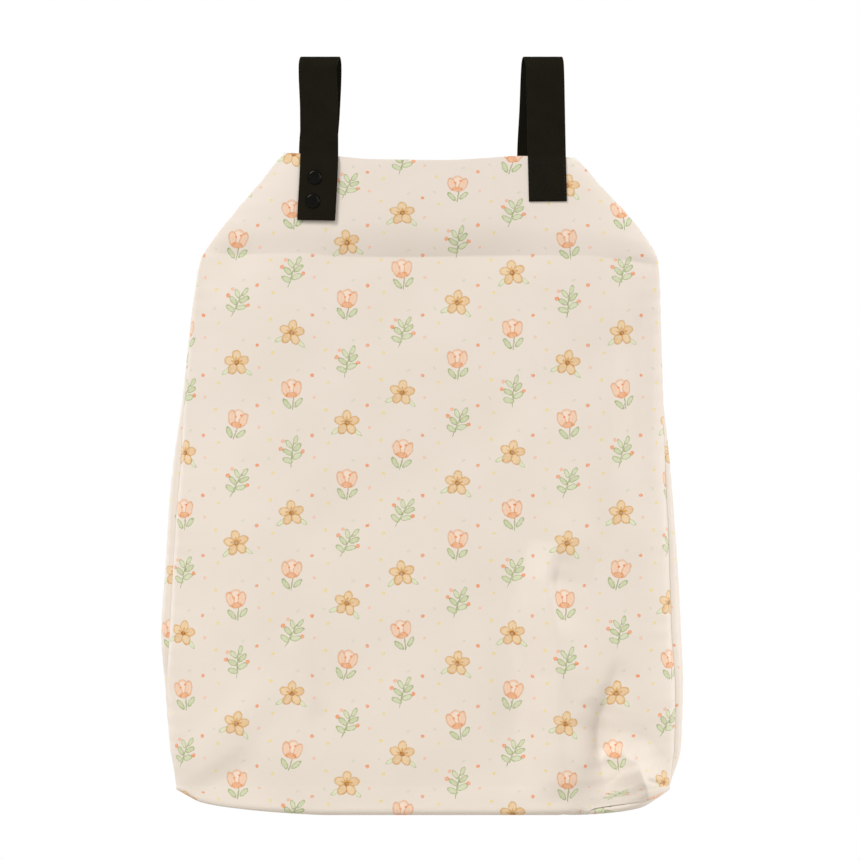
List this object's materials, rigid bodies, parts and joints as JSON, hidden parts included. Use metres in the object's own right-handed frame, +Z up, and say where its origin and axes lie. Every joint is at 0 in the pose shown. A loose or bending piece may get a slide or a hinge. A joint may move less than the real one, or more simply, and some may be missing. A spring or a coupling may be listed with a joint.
{
  "type": "laundry bag",
  "caption": "Tall soft open-topped bag with sloped shoulders, boxed lower corners and webbing hanging loops, one fastened by press studs.",
  "frame": {"origin": "the top line of the rail that the loops hang over, midway between the loops", "axes": "+Z up, +X to the right seen from the front, the front with the studs faces -Y"},
  "size_m": [0.5194, 0.0975, 0.756],
  "materials": {
    "cloth": "smooth laminated cloth, printed",
    "webbing": "ribbed black webbing",
    "studs": "black resin, satin to glossy"
  },
  "bodies": {
    "root": {"front_panel": "cloth", "back_panel": "cloth", "left_strap": "webbing", "right_strap": "webbing", "snap_post_lower": "studs", "snap_post_upper": "studs", "snap_cap_lower": "studs", "snap_cap_upper": "studs"}
  },
  "joints": []
}
